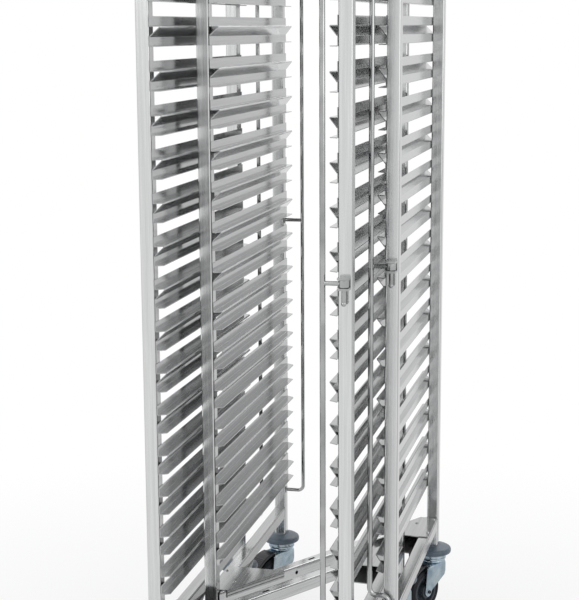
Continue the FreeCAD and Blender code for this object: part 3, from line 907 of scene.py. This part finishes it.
@dataclass
class RearRod:
    """Fixed rod at the back with its three arms, washers and weld collars."""

    trolley: Trolley
    finishes: Finishes
    rod: float = 8.0
    bend: float = 12.0
    washer: float = 16.0
    washer_thick: float = 1.5

    def build(self) -> None:
        """Build the rod in the X-Z plane and a washer round the foot of each arm."""
        name = self.trolley.value
        node = f"{name}_rear_stop_rod"
        low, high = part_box(node)
        left, right = low.x / MM, high.x / MM - self.rod / 2
        y = (low.y + high.y) / 2 / MM
        half_washer = self.washer / 2
        bottom, top = low.z / MM + half_washer, high.z / MM - half_washer
        levels = (bottom, self.middle_level(node, bottom, top), top)
        ends = [(left, y, bottom), (right, y, bottom), (right, y, top), (left, y, top)]
        path = right_angle_path(ends, self.bend)
        grids = [(rod_along(path, self.rod / 2, (0, 1, 0), 20), False)]
        arm = np.array([(left, y, levels[1]), (right, y, levels[1])])
        grids.append((rod_along(arm, self.rod / 2, (0, 1, 0), 20), False))
        thick = self.washer_thick
        ring = [(self.rod / 2, 0), (half_washer, 0), (half_washer, thick), (self.rod / 2, thick)]
        washer = turned(softened(np.array(ring, float), np.array([0.1, 0.1, 0.5, 0.3])), 40)
        angle = round_angles(10)
        fillet = turned(np.stack([self.rod / 2 + 0.7 * np.cos(angle), thick + 0.9 * np.sin(angle)], -1), 28)
        for level in levels:
            for part in (washer, fillet):
                laid = np.stack([part[..., 2] + left, part[..., 0] + y, part[..., 1] + level], -1)
                grids.append((laid, True))
        piece(f"{name}_rear_rod", grids, Place(), f"{name}_frame", node, self.finishes.rod)

    def middle_level(self, node: str, bottom: float, top: float) -> float:
        """Height of the middle arm, read from the node's points close to the upright.

        Args:
            node: Node of the rod.
            bottom: Height of the lower arm.
            top: Height of the upper arm.

        Returns:
            The height of the middle arm.
        """
        mesh = frame["nodes"][node].data
        points = np.zeros(len(mesh.vertices) * 3)
        mesh.vertices.foreach_get("co", points)
        points = points.reshape(-1, 3) / MM
        inner = points[points[:, 0] < points[:, 0].min() + self.washer_thick + 0.1]
        margin = self.washer
        middle = inner[(inner[:, 2] > bottom + margin) & (inner[:, 2] < top - margin)]
        return float((middle[:, 2].min() + middle[:, 2].max()) / 2)


@dataclass
class Castor:
    """One swivel castor, drawn about its swivel axis and trailing along +X."""

    trolley: Trolley
    corner: str
    finishes: Finishes
    width: float = 32.0
    tyre: float = 13.0
    leg_middle: float = 20.5
    sheet: float = 3.0
    leg_end: float = 11.0
    ear_back: float = 46.0
    crown_back: float = 34.0
    leg_front: float = 20.0
    leg_front_drop: float = 28.0
    crown_front: float = 27.0
    crown_bend: float = 6.0
    axle: float = 8.0
    boss: float = 32.0
    boss_length: float = 36.0
    web: float = 10.0
    ribs: int = 8
    rib_height: float = 5.5
    rib_sharpness: float = 0.16
    bolt_head: float = 14.0
    screw: float = 8.0
    socket: float = 4.0
    collar: float = 16.0
    race: float = 54.0
    race_height: float = 5.0
    race_gap: float = 0.3
    cup: float = 60.0
    kingpin: float = 12.0
    kingpin_head: float = 20.0
    disc: float = 80.0
    disc_thick: float = 13.0
    disc_seat: float = 37.2
    pedal_clear: float = 6.0
    pedal_thick: float = 6.5
    pedal_from: float = 36.0
    pedal_half: float = 17.0
    pedal_taper: float = 0.12
    pedal_barrel: float = 8.0
    pedal_pin: float = 5.0
    pedal_pin_head: float = 7.2
    tread_share: float = 0.45
    tread_pitch: float = 0.075
    tread_height: float = 0.9

    def __post_init__(self) -> None:
        """Read where the castor stands and which way it trails from the joints."""
        name = f"{self.trolley.value}_{self.corner}"
        self.name = name
        stem = joint(f"{name}_swivel")["pos_m"]
        axle = joint(f"{name}_roll")["pos_m"]
        across, along = axle[0] - stem[0], axle[1] - stem[1]
        self.trail = math.hypot(across, along) / MM
        self.axle_level = axle[2] / MM
        self.wheel = 2 * self.axle_level
        self.seat = self.wheel - 2 * self.tyre
        self.cup_bottom = stem[2] / MM
        self.race_bottom = self.cup_bottom - self.race_gap - self.race_height
        self.crown = self.race_bottom - self.sheet / 2
        self.disc_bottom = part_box(f"{self.trolley.value}_bumper_discs")[0].z / MM
        self.place = Place(x=stem[0], y=stem[1], angle=math.atan2(along, across))

    def on_axle(self, grid: np.ndarray) -> np.ndarray:
        """Lay a surface turned about Z on the wheel's axle."""
        return laid_on_axle(grid, (self.trail, self.axle_level))

    def add(self, name: str, grids: Grids, body: str, node: str, look: Look) -> None:
        """Make one piece of this castor, with body and node as they are named after it."""
        own = f"{self.name}_"
        piece(own + name, grids, self.place, own + body, own + node, look)

    def add_to_frame(self, name: str, grids: Grids, node: str, look: Look) -> None:
        """Make one piece that stands still with the frame, in place of this node's solid."""
        owner = f"{self.trolley.value}_"
        piece(f"{self.name}_{name}", grids, self.place, owner + "frame", owner + node, look)

    def build(self) -> None:
        """Build all pieces of the castor."""
        self.build_tyre()
        self.build_centre()
        self.build_fork()
        self.build_bolt()
        self.build_races()
        self.build_disc()
        if self.corner in BRAKED:
            self.build_pedal()
        LOG.info("%s castor built", self.name)

    def build_tyre(self) -> None:
        """Tyre: rounded tread, two grooves, and a raised line on each side wall."""
        outer, seat, half = self.wheel / 2, self.seat / 2, self.width / 2
        side = [
            (seat, half - 2.0), (seat + 3, half - 0.4), (seat + 4, half), (seat + 5.2, half),
            (seat + 6, half - 0.7), (outer - 6.5, half - 0.5), (outer - 2.2, half - 3.5),
            (outer - 0.4, half - 8), (outer, half - 11.6), (outer - 1.1, half - 12.2),
            (outer, half - 12.8),
        ]
        tyre = self.on_axle(turned(softened(both_halves(side), 0.35, 4), 96))
        self.add("tyre", [(tyre, True)], "rolling", "wheel", self.finishes.tyre)

    def build_centre(self) -> None:
        """Wheel centre: turned boss, web and rim, the web raised by eight ribs.

        With n ribs of height h, the web's half thickness at angle a is w/2 + h exp(-(sin(n a/2)
        / sharpness)^2), faded out at the boss and at the rim.
        """
        seat, half = self.seat / 2, self.width / 2 - 2.0
        bore = self.axle / 2 + 0.1
        boss, end, web = self.boss / 2, self.boss_length / 2, self.web / 2
        rim = seat - 6.0
        upper = [(seat, half - 1.0), (seat - 1.0, half), (rim + 1.0, half), (rim, half - 1.0)]
        upper += [(float(r), web) for r in np.linspace(boss + 1.0, seat - 7.0, 12)[::-1]]
        upper += [(boss, end - 1.0), (boss - 1.0, end), (6.8, end), (6.0, end - 1.5), (bore, end - 1.5)]
        profile = both_halves(upper)
        grid = turned(profile, 128)
        radius = profile[:, 0][:, None]
        angle = round_angles(128)[None, :]
        rib = self.rib_height * np.exp(-((np.sin(self.ribs / 2 * angle) / self.rib_sharpness) ** 2))
        on_web = np.clip((radius - boss + 0.1) * (rim + 0.1 - radius), 0, 6) / 6
        on_web = on_web * (np.abs(profile[:, 1][:, None]) < web + 1.0)
        grid[..., 2] += np.sign(profile[:, 1])[:, None] * rib * on_web
        self.add("wheel_centre", [(self.on_axle(grid), True)], "rolling", "wheel", self.finishes.centre)

    def sheet_ring(self) -> np.ndarray:
        """Section of the sheet, flat with a chamfer in two steps on each edge.

        Returns:
            Rows of end, offset and depth: end is 0 at the front edge and 1 at the back edge,
            offset is millimetres from there, and depth is millimetres out from the middle.
        """
        half, edge = self.sheet / 2, 0.7
        rim = [(0, 0, half - edge), (0, 0.3 * edge, half - 0.3 * edge), (0, edge, half)]
        flat = [(share, 0, half) for share in np.linspace(0, 1, 9)[1:-1]]
        far = [(1, -offset, depth) for _, offset, depth in reversed(rim)]
        outer = np.array(rim + flat + far)
        return np.concatenate([outer, outer[::-1] * [1, 1, -1]])

    def build_fork(self) -> None:
        """Fork: a thick sheet folded over the wheel, with tapered legs and rounded edges.

        The first parameter runs up one leg, over the crown and down the other. The second
        runs round the sheet's section, from the front edge over the outer face to the back
        edge and over the inner face. Leg ends close as circles round the axle.
        """
        leg, top, bend = self.leg_middle, self.crown, self.crown_bend
        foot = self.axle_level - self.leg_end
        rows, crown_rows = 40, 15
        rise = foot + (top - bend - foot) * np.linspace(0, 1, rows) ** 1.5
        turn = np.linspace(0, math.pi / 2, 8)[1:-1]
        flat = np.linspace(leg - bend, -(leg - bend), crown_rows)
        y = np.concatenate([np.full(rows, leg), leg - bend + bend * np.cos(turn), flat])
        z = np.concatenate([rise, top - bend + bend * np.sin(turn), np.full(crown_rows, top)])
        lean = np.concatenate([np.zeros(rows), turn, np.full(crown_rows, math.pi / 2)])
        side = rows + len(turn)
        y = np.concatenate([y, -y[:side][::-1]])
        z = np.concatenate([z, z[:side][::-1]])
        lean = np.concatenate([lean, math.pi - lean[:side][::-1]])
        circle = np.sqrt(np.clip(self.leg_end**2 - (z - self.axle_level) ** 2, 0, None))
        low = z < self.axle_level
        back = np.interp(z, [self.axle_level, top], [self.trail + self.leg_end, self.ear_back])
        bend_level, ease = top - self.leg_front_drop, 4.0
        front = np.interp(
            z, [self.axle_level, bend_level - ease, bend_level + ease],
            [self.trail - self.leg_end, 3.0 - self.leg_front, -self.leg_front],
        )
        on_crown = np.clip((leg - np.abs(y)) / bend, 0, 1)
        round_front = np.sqrt(np.clip(1 - (y / leg) ** 2, 0, 1))
        bow = self.leg_front + (self.crown_front - self.leg_front) * round_front
        back = back + (self.crown_back - back) * on_crown
        front = front + (-bow - front) * on_crown
        back = np.where(low, self.trail + circle, back)
        front = np.where(low, self.trail - circle, front)
        end, offset, depth = self.sheet_ring().T
        width = (back - front)[:, None]
        x = front[:, None] + width * end + offset * np.minimum(1, width / self.leg_end)
        across = y[:, None] + depth * np.cos(lean)[:, None]
        height = z[:, None] + depth * np.sin(lean)[:, None]
        grid = np.stack([x, across, height], -1)
        caps = grid[[0, -1]].mean(1, keepdims=True).repeat(grid.shape[1], 1)
        closed = np.concatenate([caps[:1], grid, caps[1:]])
        self.add("pressed_fork", [(closed, False)], "swivel", "fork", self.finishes.zinc)

    def build_bolt(self) -> None:
        """Axle: a low round head on each leg, spacer and collars, and a hexagon-socket screw.

        The socket is a turned recess whose radius is held to a hexagon.
        """
        outer = self.leg_middle + self.sheet / 2
        head, screw, mouth = self.bolt_head / 2, self.screw / 2, 2.6
        count = 72
        heads, screws = [], []
        socket = hexagon_reach(self.socket, count)
        for sign in (1, -1):
            flip = np.array([1, sign])
            rim = [(0.0, outer), (head, outer), (head, outer + 0.8)]
            rim += [(head - 0.6, outer + 1.5), (0.0, outer + 1.5)]
            heads.append((self.on_axle(turned(np.array(rim) * flip, count)), False))
            cap = [(0.0, outer + 1.4), (screw, outer + 1.4), (screw, outer + 3.6)]
            cap += [(screw - 0.5, outer + 4.1), (mouth, outer + 4.1)]
            shell = turned(np.array(cap) * flip, count)
            hole = [(mouth, outer + 4.1), (mouth, outer + 2.2), (0.0, outer + 2.2)]
            recess = turned(np.array(hole) * flip, count, socket)
            screws.append((self.on_axle(np.concatenate([shell, recess])), False))
        inside = self.width / 2 + 2.0
        spacer = np.array([(0.0, -outer), (self.axle / 2, -outer), (self.axle / 2, outer), (0.0, outer)])
        heads.append((self.on_axle(turned(spacer, 32)), False))
        bore, rim, end = self.axle / 2 + 0.1, self.collar / 2, outer - self.sheet - 0.1
        collar = softened(np.array([(bore, inside), (rim, inside), (rim, end), (bore, end)]), 0.2, 3)
        for sign in (1, -1):
            heads.append((self.on_axle(turned(collar * np.array([1, sign]), 40)), True))
        self.add("axle_heads", heads, "swivel", "fork", self.finishes.zinc)
        self.add("axle_screws", screws, "swivel", "fork", self.finishes.oxide)

    def build_races(self) -> None:
        """Lower race on the fork and the upper cup under the disc, both with rolled edges."""
        low, gap, high = self.race_bottom, self.cup_bottom, self.disc_bottom
        race, cup = self.race / 2, self.cup / 2
        lower = [(8.0, low), (race - 2, low), (race, low + 2.2), (race - 1.2, gap - 0.6), (8.0, gap - 0.6)]
        ring = turned(softened(np.array(lower), 0.6, 4), 72)
        self.add("lower_race", [(ring, True)], "swivel", "fork", self.finishes.zinc)
        upper = np.array(
            [
                (7.0, gap), (cup - 2.4, gap), (cup - 0.4, gap + 1.2), (cup, gap + 4.4),
                (cup - 1.2, gap + 5.4), (cup - 1.2, high - 2.6), (cup - 0.2, high - 1.6),
                (cup - 0.6, high - 0.3), (7.0, high),
            ]
        )
        ring = turned(softened(upper, 0.45, 4), 72)
        pin, head, head_top = self.kingpin / 2, self.kingpin_head / 2, low - self.sheet - self.race_gap
        shank = [(0.0, head_top - 3.3), (head - 0.8, head_top - 3.3), (head, head_top - 2.5)]
        shank += [(head, head_top), (pin, head_top), (pin, high), (0.0, high)]
        grids = [(ring, True), (turned(np.array(shank), 48), False)]
        self.add_to_frame("race_cup", grids, "castor_stems", self.finishes.zinc)

    def build_disc(self) -> None:
        """Bumper disc: dished top with a seat for the upright, rounded rim and hollow underside."""
        low, rim, seat = self.disc_bottom, self.disc / 2 + 1.0, self.disc_seat / 2
        top = low + self.disc_thick
        outline = np.array(
            [
                (8.0, low), (28.0, low), (29.5, low - 1.0), (31.0, low - 4.0), (rim - 3.0, low - 4.6),
                (rim - 0.8, low - 3.4), (rim, low - 1.0), (rim, low + 3.6), (rim - 1.2, low + 6.4),
                (rim - 4.6, low + 8.6), (28.0, low + 10.8), (21.5, low + 12.2), (seat + 0.9, top),
                (8.0, top),
            ]
        )
        disc = turned(softened(outline, 0.8, 5), 96)
        self.add_to_frame("bumper_disc", [(disc, True)], "bumper_discs", self.finishes.bumper)

    def build_pedal(self) -> None:
        """Pedal: a rounded oblong section carried round the axle's centre, with tread ribs.

        At an angle a the section spans the radii R and R + t + h c(a), where c is a cosine
        wave over the free end's share that has tread, and it narrows toward that end.
        """
        pin = joint(f"{self.name}_brake")["pos_m"]
        stem = joint(f"{self.name}_swivel")["pos_m"]
        pin_x = math.hypot(pin[0] - stem[0], pin[1] - stem[1]) / MM
        pin_z = pin[2] / MM
        inner = self.wheel / 2 + self.pedal_clear
        until = math.atan2(pin_z - self.axle_level, pin_x - self.trail)
        share = np.linspace(0, 1, 60)
        share = np.concatenate([[0, 0, 0], share[1:-1], [1, 1, 1]])
        start = math.radians(self.pedal_from)
        angle = start + (until - start) * share
        wave = 0.5 - 0.5 * np.cos(2 * math.pi * share / self.tread_pitch)
        tread = np.where(share < self.tread_share, wave, 0)
        half = self.pedal_half * (1 - self.pedal_taper * (1 - share) ** 4)
        box = softened(np.array([(-1.0, 0.0), (1.0, 0.0), (1.0, 1.0), (-1.0, 1.0)]), 0.16, 5)
        close = np.ones(len(angle))
        close[[0, -1]] = 0.0
        close[[1, -2]] = 0.86
        middle = 0.5
        radial = inner + self.pedal_thick * (middle + (box[None, :, 1] - middle) * close[:, None])
        radial = radial + self.tread_height * (tread * close)[:, None] * (box[None, :, 1] > 0.95)
        side = box[None, :, 0] * (half * close)[:, None]
        x = self.trail + radial * np.cos(angle)[:, None]
        z = self.axle_level + radial * np.sin(angle)[:, None]
        paddle = np.stack([x, side, z], -1)
        reach, bore, wall = self.pedal_half, self.pedal_pin / 2 + 0.05, self.pedal_barrel / 2
        ring = np.array([(bore, -reach), (wall, -reach), (wall, reach), (bore, reach)])
        barrel = laid_on_axle(turned(softened(ring, 0.5, 4), 32), (pin_x, pin_z))
        grids = [(paddle, False), (barrel, True)]
        self.add("foot_pedal", grids, "pedal", "brake_pedal", self.finishes.pedal)
        outer = self.leg_middle + self.sheet / 2
        shank, head = self.pedal_pin / 2, self.pedal_pin_head / 2
        pin_end = [(0.0, -outer - 1.2), (head - 0.4, -outer - 1.0), (head, -outer), (shank, -outer)]
        rod = laid_on_axle(turned(both_halves(pin_end), 28), (pin_x, pin_z))
        self.add("pedal_pin", [(rod, False)], "swivel", "fork", self.finishes.zinc)


# --- Studio ----------------------------------------------------------------------------


def seen_directly(tree: NodeTree) -> NodeSocket:
    """Tell rays that are seen from those that only light.

    Args:
        tree: Node tree that gets the nodes.

    Returns:
        Output socket, 1 for rays from the camera, a mirror or through glass, and else 0.
    """
    rays = add_node(tree, "ShaderNodeLightPath").outputs
    seen = rays["Is Camera Ray"]
    for kind in ("Is Glossy Ray", "Is Transmission Ray"):
        seen = add_node(tree, "ShaderNodeMath", {0: seen, 1: rays[kind]}, operation="MAXIMUM").outputs[0]
    return seen


@dataclass
class Studio:
    """Camera as in the photograph, pale floor, soft lamps and a white surround."""

    camera_from_foot: tuple[float, float, float] = (0.8737, -2.4735, 1.1568)
    yaw: float = 13.72
    pitch: float = 10.27
    roll: float = -0.30
    lens: float = 90.1
    sensor: float = 36.0
    floor_half: float = 30.0
    floor_colour: str = "#F4F4F4"
    fade: tuple[float, float] = (0.4, 1.6)
    near_white: float = 0.75
    ambient_colour: str = "#CFCFD1"

    def build(self) -> None:
        """Build the camera, the floor, the lamps and the surround."""
        self.build_camera()
        self.build_floor()
        self.build_lamps()
        self.build_surround()
        bpy.context.scene.view_settings.view_transform = "Standard"
        LOG.info("studio built")

    def build_camera(self) -> None:
        """Set the camera from its three angles and its place seen from the nearest upright's foot."""
        data = bpy.data.cameras.new("photo_camera")
        data.lens = self.lens
        data.sensor_width = self.sensor
        data.clip_end = 100.0
        camera = bpy.data.objects.new("photo_camera", data)
        yaw, pitch = math.radians(self.yaw), math.radians(self.pitch)
        level = math.cos(pitch)
        forward = Vector((-math.sin(yaw) * level, math.cos(yaw) * level, -math.sin(pitch)))
        roll = Matrix.Rotation(math.radians(self.roll), 3, "Z")
        turn = forward.to_track_quat("-Z", "Y").to_matrix() @ roll
        foot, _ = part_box("lead_front_left_upright")
        place = Vector(foot) + Vector(self.camera_from_foot)
        camera.matrix_world = Matrix.Translation(place) @ turn.to_4x4()
        bpy.context.scene.collection.objects.link(camera)
        bpy.context.scene.camera = camera

    def build_floor(self) -> None:
        """Lay a large pale floor: a grid of four corners at floor height."""
        reach = self.floor_half
        mesh = bpy.data.meshes.new("floor")
        corners = [(-reach, -reach, 0), (reach, -reach, 0), (reach, reach, 0), (-reach, reach, 0)]
        mesh.from_pydata(corners, [], [(0, 1, 2, 3)])
        floor = bpy.data.objects.new("floor", mesh)
        bpy.context.scene.collection.objects.link(floor)
        mesh.materials.append(self.floor_material())

    def floor_material(self) -> Material:
        """Pale floor that fades into the white background with distance.

        Camera and mirror rays see a share of plain white that grows from the trolley
        outwards, so the floor keeps the shadow near it and has no horizon.

        Returns:
            The material.
        """
        material, tree, shader = new_material("pale_floor")
        shader.inputs["Base Color"].default_value = linear(self.floor_colour)
        shader.inputs["Roughness"].default_value = 0.9
        shader.inputs["Specular IOR Level"].default_value = 0.1
        place = add_node(tree, "ShaderNodeTexCoord").outputs["Object"]
        away = add_node(tree, "ShaderNodeVectorMath", {0: place}, operation="LENGTH").outputs["Value"]
        near, far = self.fade
        share = add_node(
            tree, "ShaderNodeMapRange",
            {"Value": away, "From Min": near, "From Max": far, "To Min": self.near_white, "To Max": 1.0},
        ).outputs["Result"]
        seen = add_node(
            tree, "ShaderNodeMath", {0: share, 1: seen_directly(tree)}, operation="MULTIPLY"
        ).outputs[0]
        white = add_node(tree, "ShaderNodeEmission", {"Color": (1.0, 1.0, 1.0, 1.0), "Strength": 1.0})
        mixed = add_node(
            tree, "ShaderNodeMixShader", {0: seen, 1: shader.outputs["BSDF"], 2: white.outputs["Emission"]}
        )
        out = next(node for node in tree.nodes if node.type == "OUTPUT_MATERIAL")
        tree.links.new(mixed.outputs["Shader"], out.inputs["Surface"])
        return material

    def build_lamps(self) -> None:
        """Hang three soft lamps: a key at front left, a fill at right, one above the back."""
        target = Vector((0.0, 0.0, 0.95))
        lamps = (
            ("key_lamp", (-2.4, -3.4, 3.0), 3.0, 52.0),
            ("fill_lamp", (3.4, -1.8, 2.0), 2.4, 26.0),
            ("back_lamp", (0.8, 3.4, 3.2), 2.4, 30.0),
        )
        for name, spot, size, power in lamps:
            data = bpy.data.lights.new(name, "AREA")
            data.shape = "SQUARE"
            data.size = size
            data.energy = power
            lamp = bpy.data.objects.new(name, data)
            lamp.location = spot
            lamp.rotation_mode = "QUATERNION"
            lamp.rotation_quaternion = (target - Vector(spot)).to_track_quat("-Z", "Y")
            bpy.context.scene.collection.objects.link(lamp)

    def build_surround(self) -> None:
        """White surround for the camera and in reflections, and softer grey as light."""
        world = bpy.data.worlds.new("surround")
        bpy.context.scene.world = world
        world.use_nodes = True
        tree = world.node_tree
        tree.nodes.clear()
        colour = add_node(tree, "ShaderNodeMix", {0: seen_directly(tree)}, data_type="RGBA")
        colour.inputs[6].default_value = linear(self.ambient_colour)
        colour.inputs[7].default_value = (1.0, 1.0, 1.0, 1.0)
        lit = add_node(tree, "ShaderNodeBackground", {"Color": colour.outputs[2], "Strength": 1.0})
        add_node(tree, "ShaderNodeOutputWorld", {"Surface": lit.outputs["Background"]})


def diagonal_slant() -> float:
    """Slope of the base diagonal, read from the castors at its ends.

    Returns:
        Angle between +Y and the diagonal, seen from above.
    """
    first = joint("lead_front_left_swivel")["pos_m"]
    last = joint("lead_rear_right_swivel")["pos_m"]
    return math.atan2(last[0] - first[0], last[1] - first[1])


def main() -> None:
    """Build and dress both trolleys, then the studio."""
    logging.basicConfig(level=logging.INFO, format="%(message)s")
    finishes = Finishes(slant=diagonal_slant())
    for trolley in Trolley:
        work = FrameWork(trolley, finishes)
        work.dress()
        work.build_welds()
        work.build_rivets()
        work.build_skirts()
        StopBar(trolley, finishes).build()
        RearRod(trolley, finishes).build()
        for corner in CORNERS:
            Castor(trolley, corner, finishes).build()
    Studio().build()


if __name__ == "__main__":
    main()
